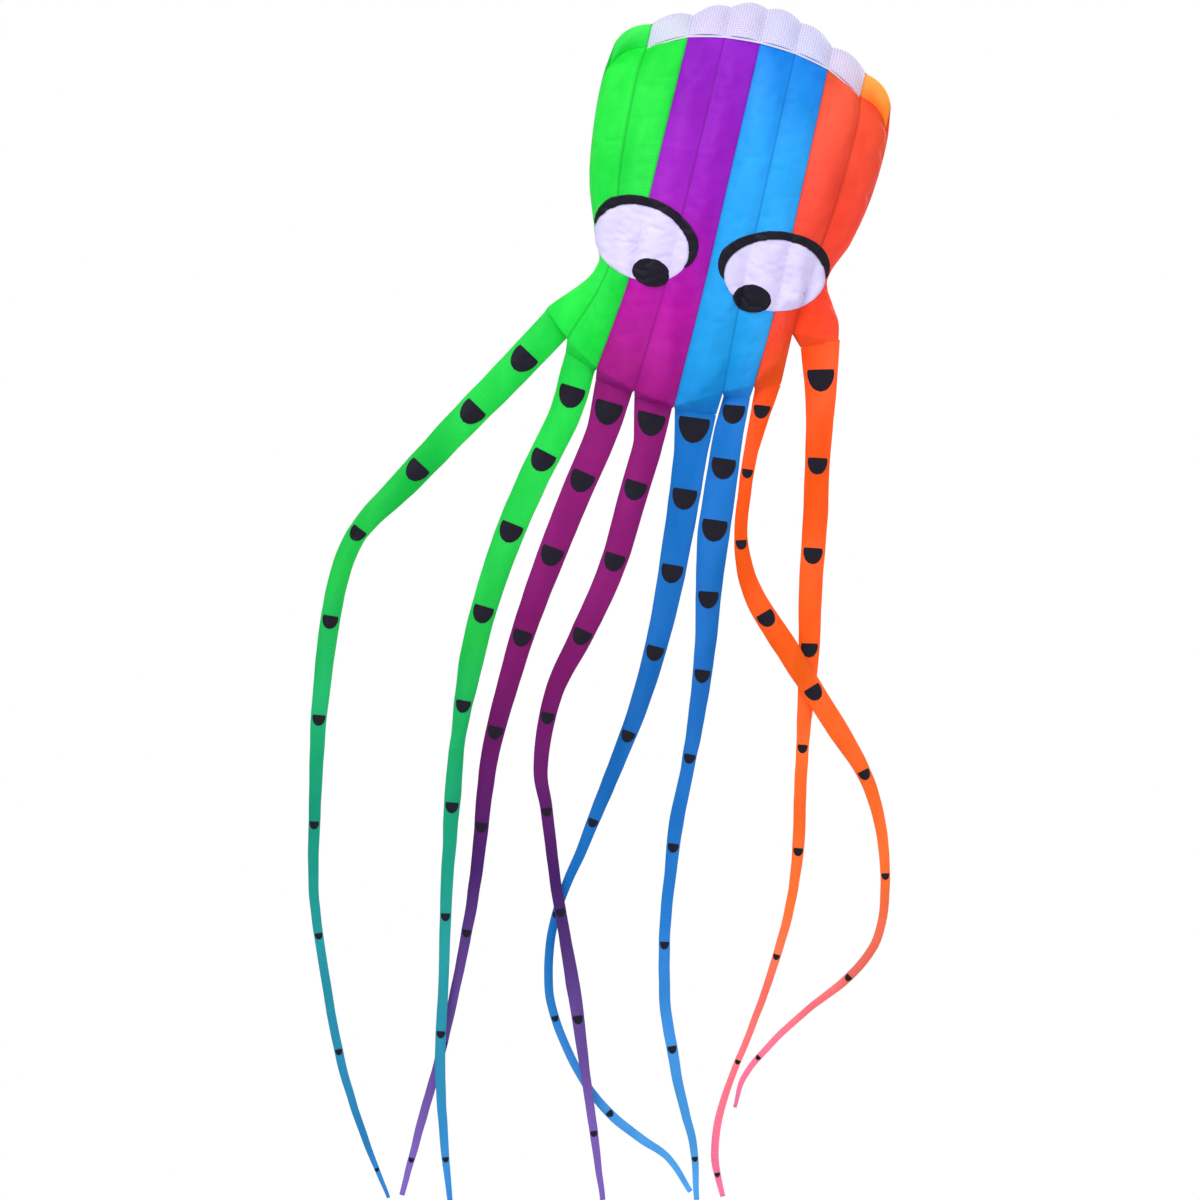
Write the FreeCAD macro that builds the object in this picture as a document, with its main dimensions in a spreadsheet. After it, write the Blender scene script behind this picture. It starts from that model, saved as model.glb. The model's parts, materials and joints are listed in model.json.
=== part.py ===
"""Octopus kite: a frameless ram-air head of eight cells with eight soft legs.

The head stands upright with the eyes facing -Y and the legs hang down -Z.  The origin is the
eye of the lowest middle bridle loop, on the back of the head.  Lengths are in millimetres.
"""
import FreeCAD, Part
import math
import os

from FreeCAD import Placement, Rotation, Vector

DRIVING_SIZES = {
    "skin_thick": 1.2,
    "rib_thick": 0.8,
    "rib_clearance": 7.0,
    "cell_bulge": 0.13,
    "side_bulge": 0.2,
    "seam_gap": 0.7,
    "head_depth": 125.0,
    "nose_depth": 50.0,
    "root_depth": 5.0,
    "edge_depth": 2.4,
    "hem_width": 12.0,
    "leg_width": 95.0,
    "leg_fullness": 0.28,
    "fold_depth": 5.0,
    "fold_swell": 0.07,
    "fold_gap": 8.0,
    "root_gap": 16.0,
    "leg_lean": 0.0115,
    "spot_width": 0.78,
    "spot_length": 0.6,
    "patch_thick": 0.7,
    "patch_clearance": 0.6,
    "left_eye_x": -190.0,
    "left_eye_z": 187.0,
    "left_eye_width": 266.0,
    "left_eye_height": 194.0,
    "right_eye_x": 178.0,
    "right_eye_z": 182.0,
    "right_eye_width": 274.0,
    "right_eye_height": 190.0,
    "eye_tilt": 12.0,
    "lid_width": 24.0,
    "lid_gap": 1.0,
    "lid_turn": 22.0,
    "left_pupil_x": -147.0,
    "left_pupil_z": 115.0,
    "right_pupil_x": 132.0,
    "right_pupil_z": 108.0,
    "pupil_width": 102.0,
    "pupil_height": 74.0,
    "pupil_tilt": 4.0,
    "loop_eye_radius": 3.0,
    "loop_tape_thick": 1.0,
    "loop_tape_width": 10.0,
    "loop_tail": 13.0,
    "loop_foot_gap": 2.5,
    "port_radius": 22.0,
}

STRIPES = ("green", "purple", "blue", "orange")
SEAMS = range(-4, 5)
CELLS = range(1, 9)

# Seams of the head by number, 0 in the middle and 4 at the side: (distance from the middle, height).
# The seam at the left side, -4, has its own line, and the others are alike on both sides.
SEAM_LINES = {
    0: ((0, 650), (0, 300), (0, 100)),
    1: ((97, 650), (100, 300), (102, 100)),
    2: ((194, 650), (198, 300), (200, 100)),
    3: ((301, 620), (292, 400), (262, 110)),
    4: ((394, 600), (386, 450), (360, 320), (320, 208), (348, 150), (376, 104)),
    -4: ((394, 600), (386, 450), (364, 320), (322, 200), (290, 110)),
}
NOSE_X = (0, 97, 193, 295, 383)
FRONT_NOSE_Z = (790, 784, 764, 712, 640)
BACK_NOSE_Z = (889, 872, 826, 776, 704)

# Corners of each leg root, left and right, at the lower edge of its cell.
ROOTS = {
    1: ((-404, -48), (-328, -100)),
    2: ((-324, -140), (-236, -172)),
    3: ((-228, -196), (-124, -206)),
    4: ((-116, -216), (-10, -224)),
    5: ((-2, -224), (110, -214)),
    6: ((118, -160), (189, -146)),
    7: ((196, -122), (262, -96)),
    8: ((292, 14), (390, 60)),
}

# Depth of the head down its length, as (share of the seam, share of the head depth).
DEPTH_PROFILE = ((0.12, 0.78), (0.3, 1.0), (0.5, 0.93), (0.7, 0.68), (0.87, 0.3), (1.0, 0.0))

# Middle line of each leg as (x, z, width as a share of the leg width), from root to tip.
UPPER_ROUTES = {
    1: ((-455, -225, 0.94), (-558, -395, 0.88), (-662, -572, 0.8), (-752, -720, 0.6)),
    2: ((-288, -300, 0.9), (-325, -460, 0.87), (-362, -655, 0.83), (-382, -850, 0.74), (-384, -1010, 0.7),
        (-374, -1200, 0.42)),
    3: ((-180, -330, 0.9), (-210, -500, 0.86), (-240, -695, 0.8), (-264, -890, 0.69), (-275, -1070, 0.6),
        (-279, -1210, 0.52)),
    4: ((-52, -330, 0.84), (-60, -480, 0.81), (-72, -680, 0.74), (-107, -862, 0.68), (-148, -1040, 0.52),
        (-142, -1230, 0.42)),
    5: ((66, -330, 0.95), (77, -460, 0.88), (89, -655, 0.78), (93, -835, 0.65), (84, -1020, 0.54),
        (68, -1140, 0.46)),
    6: ((155, -270, 0.85), (165, -400, 0.9), (176, -530, 0.9), (197, -680, 0.72), (222, -830, 0.6),
        (243, -1040, 0.46), (248, -1150, 0.38)),
    7: ((226, -180, 0.56), (224, -290, 0.4), (232, -400, 0.37), (244, -500, 0.37)),
    8: ((364, -60, 0.94), (386, -165, 0.78), (407, -285, 0.7), (430, -405, 0.71), (470, -645, 0.66),
        (497, -770, 0.6), (535, -1010, 0.36)),
}
LOWER_ROUTES = {
    1: ((-768, -755, 0.57), (-783, -860, 0.57), (-778, -1020, 0.56), (-752, -1245, 0.46), (-711, -1470, 0.35),
        (-665, -1690, 0.29), (-605, -1860, 0.26), (-485, -2140, 0.25), (-375, -2330, 0.2), (-276, -2472, 0.1)),
    2: ((-372, -1225, 0.42), (-352, -1370, 0.48), (-328, -1520, 0.38), (-300, -1680, 0.33), (-262, -1870, 0.29),
        (-222, -2085, 0.3), (-160, -2300, 0.24), (-112, -2440, 0.15)),
    3: ((-279, -1235, 0.52), (-270, -1345, 0.46), (-250, -1500, 0.38), (-236, -1650, 0.33), (-228, -1860, 0.27),
        (-227, -2060, 0.26), (-236, -2250, 0.25), (-243, -2460, 0.15)),
    4: ((-134, -1262, 0.4), (-98, -1350, 0.35), (-36, -1520, 0.32), (30, -1680, 0.34), (80, -1800, 0.4),
        (125, -1915, 0.34), (168, -2030, 0.27), (226, -2180, 0.24), (288, -2345, 0.15)),
    5: ((64, -1165, 0.46), (44, -1290, 0.4), (22, -1430, 0.31), (-4, -1580, 0.25), (-6, -1700, 0.25),
        (22, -1835, 0.25), (84, -1948, 0.24), (180, -2060, 0.24), (272, -2128, 0.27), (356, -2166, 0.25),
        (436, -2200, 0.2), (515, -2275, 0.15)),
    6: ((249, -1180, 0.38), (253, -1312, 0.42), (268, -1450, 0.34), (288, -1600, 0.32), (334, -1795, 0.32),
        (376, -1900, 0.32), (424, -2012, 0.28), (494, -2150, 0.22), (534, -2288, 0.15)),
    7: ((252, -530, 0.38), (285, -612, 0.5), (340, -690, 0.62), (420, -768, 0.68), (520, -868, 0.62),
        (625, -972, 0.6), (716, -1066, 0.42), (780, -1170, 0.34), (828, -1300, 0.28), (851, -1420, 0.25),
        (846, -1515, 0.25), (800, -1610, 0.25), (720, -1710, 0.2), (640, -1825, 0.19), (585, -1935, 0.17),
        (578, -2022, 0.1)),
    8: ((542, -1040, 0.36), (562, -1160, 0.35), (588, -1290, 0.35), (601, -1400, 0.28), (603, -1510, 0.26),
        (592, -1680, 0.22), (573, -1830, 0.19), (552, -1960, 0.19), (545, -2070, 0.22), (562, -2180, 0.22),
        (604, -2268, 0.14)),
}

# Side to which a leg leans away from its neighbours: -1 in front, 1 behind, 0 in the middle.
LAYERS = {1: 0, 2: -1, 3: 1, 4: -1, 5: 1, 6: -1, 7: -1, 8: 1}

# Spots down each leg: distance of the first, first step and growth of the step.
SPOT_STEPS = {
    1: (135, 190, 8.5),
    2: (100, 180, 10.5),
    3: (75, 190, 9.0),
    4: (60, 175, 9.0),
    5: (50, 180, 8.0),
    6: (50, 140, 9.5),
    7: (70, 160, 11.0),
    8: (100, 225, 6.0),
}
MOST_SPOTS = 12
SPOT_SHARES = (0.0, 0.3, 0.6, 0.85)
SPOT_MARGIN = 4.0
TIP_MARGIN = 60.0
STATION_STEP = 60.0

LOOP_SEAMS = {"left": -2, "centre": 0, "right": 2}
LOOP_ROWS = {"upper": 600.0, "middle": 300.0, "lower": 0.0}
RIB_SHARES = (0.05, 0.12, 0.3, 0.5, 0.66, 0.78)
PORT_SHARES = (0.16, 0.34, 0.52, 0.68)
SKIN_STATIONS = (0.03, 0.06, 0.16, 0.3, 0.45, 0.6, 0.74, 0.87, 1.0)
HEM_STATIONS = (0.0, 0.5, 1.0)
MOUTH_STATIONS = (0.03, 0.35, 0.65, 0.97)
CUT_REACH = 300.0
SMALLEST_SHARE = 1e-6
FRONT, BACK = -1, 1

doc = FreeCAD.newDocument("octopus_kite")
sheet = doc.addObject("Spreadsheet::Sheet", "Sizes")
for row, (alias, value) in enumerate(DRIVING_SIZES.items(), start=1):
    sheet.set(f"A{row}", alias)
    sheet.set(f"B{row}", str(value))
    sheet.setAlias(f"B{row}", alias)
doc.recompute()
size = {alias: getattr(sheet, alias) for alias in DRIVING_SIZES}

sub_parts = []


def keep(part, label):
    """Name a finished sub-part and list it for export."""
    part.Label = label
    sub_parts.append(part)
    return part


def add_feature(label, solids):
    """Add one sub-part from solids built with Part's own functions."""
    part = doc.addObject("Part::Feature", label)
    part.Shape = solids[0] if len(solids) == 1 else Part.makeCompound(solids)
    part.Placement = Placement(Vector(0, middle_y, 0), Rotation())
    return keep(part, label)


def between(table, where):
    """Read a table of (position, value) pairs with straight lines between them."""
    if where <= table[0][0]:
        return table[0][1]
    for (x0, y0), (x1, y1) in zip(table, table[1:]):
        if where <= x1:
            return y0 + (y1 - y0) * (where - x0) / (x1 - x0)
    return table[-1][1]


def smooth_edge(points):
    """Edge of a smooth curve through the points."""
    curve = Part.BSplineCurve()
    curve.interpolate(points)
    return curve.toShape()


def at_share(edge, share):
    """Point at a share of an edge's length."""
    return edge.valueAt(edge.getParameterByLength(share * edge.Length))


# ---------------------------------------------------------------- head

def seam_edge(seam, cell, side):
    """Line of one seam in the XZ plane, from the nose to the leg root of one of its two cells."""
    sign = -1 if seam < 0 else 1
    nose_z = FRONT_NOSE_Z if side == FRONT else BACK_NOSE_Z
    corner = ROOTS[cell][0 if seam == cell - 5 else 1]
    line = SEAM_LINES[seam] if seam in SEAM_LINES else SEAM_LINES[-seam]
    points = [(sign * NOSE_X[abs(seam)], nose_z[abs(seam)])]
    points += [(sign * x, z) for x, z in line]
    points.append(corner)
    return smooth_edge([Vector(x, 0, z) for x, z in points])


def seam_depth(seam, share):
    """Distance of a seam from the middle plane of the head at a share of its length."""
    full = math.sqrt(max(0.0, 1 - (seam / 4) ** 2))
    at_nose = math.sqrt(max(0.0, 1 - (seam / 3) ** 2))
    if share < DEPTH_PROFILE[0][0]:
        first_share, first_depth = DEPTH_PROFILE[0]
        start = size["nose_depth"] * at_nose
        end = size["head_depth"] * first_depth * full
        depth = start + (end - start) * math.sin(math.pi / 2 * share / first_share)
    else:
        swell = (size["head_depth"] - size["root_depth"]) * full
        depth = size["root_depth"] + swell * between(DEPTH_PROFILE, share)
    return max(depth, size["edge_depth"])


def seam_point(edge, seam, side, share):
    """Point of a seam on the front or the back of the head."""
    point = at_share(edge, share)
    return Vector(point.x, side * seam_depth(seam, share), point.z)


def seam_at_height(seam, cell, side, height):
    """Point of one cell's seam at one height."""
    edge = seam_edge(seam, cell, side)
    above, below = 0.0, 1.0
    while below - above > SMALLEST_SHARE:
        share = (above + below) / 2
        if at_share(edge, share).z > height:
            above = share
        else:
            below = share
    return seam_point(edge, seam, side, share)


def hem_shares(side):
    """Shares of the seams at which the nose hem has its sections."""
    width = size["hem_width"] / seam_edge(0, 4, side).Length
    return [width * station for station in HEM_STATIONS]


def arc_section(left, right, outward, bulge, low, high):
    """Closed strip between two arcs that bulge outward, at heights low and high over the chord."""
    along = (right - left).normalize()
    left = left + along * size["seam_gap"]
    right = right - along * size["seam_gap"]
    top = (left + right) * 0.5 + outward * bulge * (right - left).Length
    arcs = [
        Part.Arc(left + outward * lift, top + outward * lift, right + outward * lift).toShape()
        for lift in (low, high)
    ]
    sides = [
        Part.LineSegment(point + outward * low, point + outward * high).toShape()
        for point in (left, right)
    ]
    return Part.Wire([arcs[0], sides[1], arcs[1], sides[0]])


def cell_strip(cell, side, low, high, shares):
    """Solid strip over one cell between two heights over its seams."""
    seams = (cell - 5, cell - 4)
    edges = [seam_edge(seam, cell, side) for seam in seams]
    bulge = size["side_bulge"] if 4 in (abs(seams[0]), abs(seams[1])) else size["cell_bulge"]
    wires = []
    for share in shares:
        left, right = [seam_point(edge, seam, side, share) for edge, seam in zip(edges, seams)]
        outward = (right - left).cross(Vector(0, 0, -side)).normalize()
        wires.append(arc_section(left, right, outward, bulge, low, high))
    return Part.makeLoft(wires, True)


def whole_strip(cell, side, low, high):
    """Solid strip over one cell from its nose edge to its leg root."""
    return cell_strip(cell, side, low, high, [*hem_shares(side), *SKIN_STATIONS])


def add_skins():
    """Front and back fabric panel of each colour, two cells wide."""
    for side, name in ((FRONT, "front"), (BACK, "back")):
        for number, colour in enumerate(STRIPES):
            cells = (2 * number + 1, 2 * number + 2)
            strips = [whole_strip(cell, side, -size["skin_thick"], 0.0) for cell in cells]
            add_feature(f"{name}_panel_{colour}", strips)


def add_hems():
    """Folded hem along the nose edge of the six middle cells, front and back."""
    for side, name in ((FRONT, "front"), (BACK, "back")):
        low = size["patch_clearance"]
        high = low + size["patch_thick"]
        strips = [cell_strip(cell, side, low, high, hem_shares(side)) for cell in range(2, 8)]
        add_feature(f"{name}_nose_hem", strips)


def rib_reach(seam, side, height):
    """Distance from the middle plane to a rib's edge, clear of both cells that the rib divides."""
    points = [seam_at_height(seam, cell, side, height) for cell in (seam + 4, seam + 5)]
    return min(abs(point.y) for point in points) - size["skin_thick"] - size["rib_clearance"]


def add_ribs():
    """Inner ribs that join the front and back skins along the seven inner seams."""
    half = size["rib_thick"] / 2
    for number, seam in enumerate(range(-3, 4), start=1):
        edge = seam_edge(seam, seam + 5, FRONT)
        wires = []
        for share in RIB_SHARES:
            point = at_share(edge, share)
            front = -rib_reach(seam, FRONT, point.z)
            back = rib_reach(seam, BACK, point.z)
            corners = [
                Vector(point.x + dx, dy, point.z)
                for dx, dy in ((-half, front), (half, front), (half, back), (-half, back))
            ]
            wires.append(Part.makePolygon(corners + corners[:1]))
        rib = Part.makeLoft(wires, True, True)
        for share in PORT_SHARES:
            point = at_share(edge, share)
            radius = size["port_radius"] * seam_depth(seam, share) / size["head_depth"]
            start = Vector(point.x - radius, 0, point.z)
            rib = rib.cut(Part.makeCylinder(radius, 2 * radius, start, Vector(1, 0, 0)))
        add_feature(f"rib_{number}", rib.Solids)


def mouth_lobe(cell):
    """Crowned strip over the mouth of one cell, between its front and back nose edges."""
    seams = (cell - 5, cell - 4)
    ends = []
    for seam in seams:
        front = seam_point(seam_edge(seam, cell, FRONT), seam, FRONT, 0.0)
        back = seam_point(seam_edge(seam, cell, BACK), seam, BACK, 0.0)
        ends.append((front, back))
    slope = (ends[0][1] - ends[0][0] + ends[1][1] - ends[1][0]).normalize()
    wires = []
    for share in MOUTH_STATIONS:
        left, right = [front + (back - front) * share for front, back in ends]
        outward = (right - left).cross(slope).normalize()
        low = size["patch_clearance"]
        high = low + size["skin_thick"]
        wires.append(arc_section(left, right, outward, size["cell_bulge"], low, high))
    return Part.makeLoft(wires, True)


def add_mouth():
    """Scalloped mesh over the air intake of the six middle cells, and closed gussets over the outer two."""
    add_feature("intake_gauze", [mouth_lobe(cell) for cell in range(2, 8)])
    add_feature("side_gusset_green", [mouth_lobe(1)])
    add_feature("side_gusset_orange", [mouth_lobe(8)])


# ---------------------------------------------------------------- eyes

def oval_prism(centre_x, centre_z, width, height, tilt):
    """Prism from before the head to its middle plane with an oval outline."""
    oval = Part.Ellipse(Vector(0, 0, 0), width / 2, height / 2)
    face = Part.Face(Part.Wire([oval.toShape()]))
    face.Placement = Placement(
        Vector(centre_x, -CUT_REACH, centre_z),
        Rotation(Vector(0, 1, 0), tilt) * Rotation(Vector(1, 0, 0), 90),
    )
    return face.extrude(Vector(0, CUT_REACH, 0))


def on_front(prism, cells, low):
    """Patch of one thickness that follows the front cells inside a prism."""
    patches = []
    for cell in cells:
        strip = whole_strip(cell, FRONT, low, low + size["patch_thick"])
        patches += strip.common(prism).Solids
    return patches


def eye_prism(name, margin):
    """Prism of one eye's white, wider by a margin all round."""
    inward = 1 if name == "left" else -1
    return oval_prism(
        size[f"{name}_eye_x"], size[f"{name}_eye_z"],
        size[f"{name}_eye_width"] + 2 * margin, size[f"{name}_eye_height"] + 2 * margin,
        inward * size["eye_tilt"],
    )


def lid_prism(name):
    """Prism of the band over one eye, open on the side that looks down and in."""
    inward = 1 if name == "left" else -1
    band = eye_prism(name, size["lid_width"]).cut(eye_prism(name, size["lid_gap"]))
    above = Part.makeBox(2 * CUT_REACH, CUT_REACH, CUT_REACH, Vector(-CUT_REACH, -CUT_REACH, 0))
    above.Placement = Placement(
        Vector(size[f"{name}_eye_x"], 0, size[f"{name}_eye_z"]),
        Rotation(Vector(0, 1, 0), inward * size["lid_turn"]),
    )
    return band.common(above)


def pupil_prism(name):
    inward = 1 if name == "left" else -1
    return oval_prism(
        size[f"{name}_pupil_x"], size[f"{name}_pupil_z"], size["pupil_width"], size["pupil_height"],
        inward * size["pupil_tilt"],
    )


def add_eyes():
    """White, black lid band and pupil of each eye, one layer over the other."""
    first = size["patch_clearance"]
    second = first + size["patch_thick"] + size["patch_clearance"]
    for name, cells in (("left", (1, 2, 3, 4)), ("right", (5, 6, 7, 8))):
        add_feature(f"eye_white_{name}", on_front(eye_prism(name, 0.0), cells, first))
        add_feature(f"eyelid_{name}", on_front(lid_prism(name), cells, first))
        add_feature(f"pupil_{name}", on_front(pupil_prism(name), cells, second))


# ---------------------------------------------------------------- bridle loops

def loop_place(seam, height):
    """Outermost point of a back seam at one height, where a loop is sewn in."""
    feet = [seam_at_height(seam, cell, BACK, height) for cell in (seam + 4, seam + 5)]
    return max(feet, key=lambda foot: foot.y)


def add_bridle_loops():
    """Rows of folded tape loops on the back seams, one row in each sub-part."""
    radius = size["loop_eye_radius"]
    wall = size["loop_tape_thick"]
    width = size["loop_tape_width"]
    for row_name, height in LOOP_ROWS.items():
        loops = []
        for seam in LOOP_SEAMS.values():
            foot = loop_place(seam, height)
            base = Vector(foot.x, foot.y + size["loop_tail"], height - width / 2)
            ring = Part.makeCylinder(radius + wall, width, base)
            tail_start = Vector(base.x - wall, foot.y + size["loop_foot_gap"], base.z)
            tail = Part.makeBox(2 * wall, size["loop_tail"] - size["loop_foot_gap"], width, tail_start)
            eye = Part.makeCylinder(radius, width, base)
            loops.append(ring.fuse(tail).cut(eye).removeSplitter())
        add_feature(f"bridle_loops_{row_name}", loops)


# ---------------------------------------------------------------- legs

class LegPart:
    """Middle line and section of the upper or the lower part of one leg."""

    def __init__(self, leg, rows, start_gap, end_gap):
        points = [Vector(x, LAYERS[leg] * size["leg_lean"] * (ROOT_Z[leg] - z), z) for x, z, width in rows]
        self.edge = smooth_edge(points)
        lengths = [self.edge.Curve.length(self.edge.FirstParameter, self.edge.Curve.parameter(p)) for p in points]
        self.widths = [(length, row[2]) for length, row in zip(lengths, rows)]
        self.start = start_gap
        self.end = self.edge.Length - end_gap
        self.folds_at_end = end_gap > 0

    def point(self, length):
        return self.edge.valueAt(self.edge.getParameterByLength(length))

    def across(self, length):
        """Direction across the leg in its own plane."""
        along = self.edge.tangentAt(self.edge.getParameterByLength(length))
        return Vector(-along.z, 0, along.x).normalize()

    def half_width(self, length):
        return size["leg_width"] * between(self.widths, length) / 2

    def half_depth(self, length):
        """Half depth of the tube, pinched flat towards its folds."""
        full = self.half_width(length) * size["leg_fullness"]
        from_fold = length - self.start
        if self.folds_at_end:
            from_fold = min(from_fold, self.end - length)
        pinch = size["fold_depth"] / 2 + size["fold_swell"] * max(0.0, from_fold)
        return min(full, pinch)

    def section_place(self, length):
        """Placement of the section at one length, square to the middle line."""
        across = self.across(length)
        along = across.cross(Vector(0, 1, 0))
        return Placement(self.point(length), Rotation(across, Vector(0, 1, 0), along, "XYZ"))

    def stations(self):
        count = max(4, round((self.end - self.start) / STATION_STEP))
        return [self.start + (self.end - self.start) * number / count for number in range(count + 1)]


def root_middle(leg):
    left, right = ROOTS[leg]
    return (left[0] + right[0]) / 2, (left[1] + right[1]) / 2


def leg_parts(leg):
    """Upper and lower part of a leg, which meet at the fold point."""
    left, right = [Vector(x, 0, z) for x, z in ROOTS[leg]]
    root = (left + right) * 0.5
    root_row = (root.x, root.z, left.distanceToPoint(right) / size["leg_width"])
    last_upper = Vector(UPPER_ROUTES[leg][-1])
    first_lower = Vector(LOWER_ROUTES[leg][0])
    fold = tuple((last_upper + first_lower) * 0.5)
    upper_rows = [root_row, *UPPER_ROUTES[leg][:-1], fold]
    lower_rows = [fold, *LOWER_ROUTES[leg][1:]]
    gap = size["fold_gap"]
    return LegPart(leg, upper_rows, size["root_gap"] + gap, gap), LegPart(leg, lower_rows, gap, 0.0)


def add_leg_tube(leg_part, label):
    """Loft the closed tube of one leg part through ellipses bound to the sheet."""
    sections = []
    for number, length in enumerate(leg_part.stations()):
        oval = doc.addObject("Part::Ellipse", f"{label}_section_{number}")
        share = leg_part.half_width(length) / size["leg_width"]
        depth = leg_part.half_depth(length) / size["leg_width"]
        oval.setExpression("MajorRadius", f"Sizes.leg_width * {share:.5f}")
        oval.setExpression("MinorRadius", f"Sizes.leg_width * {depth:.5f}")
        oval.Placement = leg_part.section_place(length)
        sections.append(oval)
    tube = doc.addObject("Part::Loft", label)
    tube.Sections = sections
    tube.Solid = True
    tube.Placement = Placement(Vector(0, middle_y, 0), Rotation())
    return keep(tube, label)


def sleeve(leg_part, lift):
    """Closed tube round a leg part, at one distance outside its fabric."""
    wires = []
    for length in leg_part.stations():
        wide = leg_part.half_width(length) + lift
        deep = leg_part.half_depth(length) + lift
        oval = Part.Ellipse(Vector(0, 0, 0), wide, deep).toShape()
        oval.Placement = leg_part.section_place(length)
        wires.append(Part.Wire([oval]))
    return Part.makeLoft(wires, True)


def spot_prism(leg_part, first, last):
    """D-shaped prism into the front of a leg part, straight edge first and round towards the tip."""
    left, right = [], []
    for share in SPOT_SHARES:
        length = first + (last - first) * share
        half = leg_part.half_width(length) * size["spot_width"] * math.sqrt(1 - share ** 2)
        left.append(leg_part.point(length) - leg_part.across(length) * half)
        right.append(leg_part.point(length) + leg_part.across(length) * half)
    rim = [*left, leg_part.point(last), *reversed(right)]
    flat = [Vector(point.x, -CUT_REACH, point.z) for point in rim]
    straight = Part.LineSegment(flat[-1], flat[0]).toShape()
    face = Part.Face(Part.Wire([smooth_edge(flat), straight]))
    return face.extrude(Vector(0, CUT_REACH + leg_part.point(first).y, 0))


def add_spots(leg, parts, labels):
    """Black spots down the front of a leg, grouped by the leg part that carries them."""
    first, step, growth = SPOT_STEPS[leg]
    upper_length = parts[0].edge.Length
    prisms = ([], [])
    for number in range(MOST_SPOTS):
        distance = first + step * number + growth * number ** 2
        which = 0 if distance < upper_length else 1
        part = parts[which]
        start = distance - which * upper_length
        long = size["spot_length"] * 2 * part.half_width(start)
        start = max(start - long / 2, part.start + SPOT_MARGIN)
        end = start + long
        if which == 0 and end > part.end - SPOT_MARGIN:
            start, end = part.end - SPOT_MARGIN - long, part.end - SPOT_MARGIN
        if which == 1 and end > part.end - TIP_MARGIN:
            break
        prisms[which].append(spot_prism(part, start, end))
    low = size["patch_clearance"]
    high = low + size["patch_thick"]
    for part, part_prisms, label in zip(parts, prisms, labels):
        shell = sleeve(part, high).cut(sleeve(part, low))
        spots = []
        for prism in part_prisms:
            spots += shell.common(prism).Solids
        add_feature(label, spots)


def add_legs():
    for leg in CELLS:
        parts = leg_parts(leg)
        add_leg_tube(parts[0], f"leg_{leg}_upper")
        add_leg_tube(parts[1], f"leg_{leg}_lower")
        add_spots(leg, parts, (f"leg_{leg}_upper_spots", f"leg_{leg}_lower_spots"))


ROOT_Z = {leg: root_middle(leg)[1] for leg in CELLS}
origin_loop = loop_place(LOOP_SEAMS["centre"], LOOP_ROWS["lower"])
middle_y = -(origin_loop.y + size["loop_tail"])

add_skins()
add_hems()
add_ribs()
add_mouth()
add_eyes()
add_bridle_loops()
add_legs()
doc.recompute()

for item in doc.Objects:
    if "Invalid" in item.State or "Error" in item.State:
        raise RuntimeError(f"{item.Label} did not recompute: {item.State}")
for part in sub_parts:
    if part.Shape.isNull() or not part.Shape.isValid():
        raise RuntimeError(f"{part.Label} has no valid shape")

os.makedirs("parts", exist_ok=True)
for part in sub_parts:
    part.Shape.exportStep(f"parts/{part.Label}.step")
print(len(sub_parts), "sub-parts, head middle plane at y =", round(middle_y, 2))
for part in sub_parts:
    print(part.Label, round(part.Shape.Volume / 1000, 1), "cm3", len(part.Shape.Faces), "faces")
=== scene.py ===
import json
import math

import bmesh
import bpy
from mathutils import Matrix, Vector, noise
from mathutils.bvhtree import BVHTree

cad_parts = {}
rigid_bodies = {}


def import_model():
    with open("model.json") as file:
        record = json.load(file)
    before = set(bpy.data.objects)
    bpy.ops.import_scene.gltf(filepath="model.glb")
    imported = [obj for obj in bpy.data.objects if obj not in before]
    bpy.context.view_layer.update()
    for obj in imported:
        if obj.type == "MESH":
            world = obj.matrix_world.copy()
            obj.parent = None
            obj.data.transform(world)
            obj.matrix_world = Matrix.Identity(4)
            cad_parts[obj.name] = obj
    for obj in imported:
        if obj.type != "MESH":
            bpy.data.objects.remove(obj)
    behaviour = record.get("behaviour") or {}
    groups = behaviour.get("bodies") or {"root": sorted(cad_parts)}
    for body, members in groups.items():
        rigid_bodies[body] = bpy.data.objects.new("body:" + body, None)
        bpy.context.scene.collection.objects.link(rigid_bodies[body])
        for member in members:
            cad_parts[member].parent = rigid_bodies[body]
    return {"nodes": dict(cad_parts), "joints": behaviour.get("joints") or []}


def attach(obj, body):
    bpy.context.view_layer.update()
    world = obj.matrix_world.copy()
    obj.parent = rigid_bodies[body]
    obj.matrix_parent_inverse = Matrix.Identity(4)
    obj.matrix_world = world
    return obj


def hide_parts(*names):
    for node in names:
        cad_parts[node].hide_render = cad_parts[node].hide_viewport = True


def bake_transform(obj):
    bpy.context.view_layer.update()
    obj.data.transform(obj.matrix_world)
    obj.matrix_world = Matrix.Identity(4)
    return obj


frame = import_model()

bl_info = {
    "name": "Octopus Kite",
    "version": (1, 0, 0),
    "blender": (4, 5, 0),
    "location": "View3D > Sidebar > Kite",
    "description": "Sews the soft head, eyes and spotted legs of an octopus kite over its frame",
    "category": "Mesh",
}

MM = 0.001
COLOURS = ("green", "purple", "blue", "orange")
CELLS = range(1, 9)
FRONT, BACK = -1, 1
JOINTS = {joint["name"]: joint for joint in frame["joints"]}
# The head's middle plane; the leg at its left side hangs in it.
MIDDLE_Y = JOINTS["leg_1_root"]["pos_m"][1]

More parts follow.
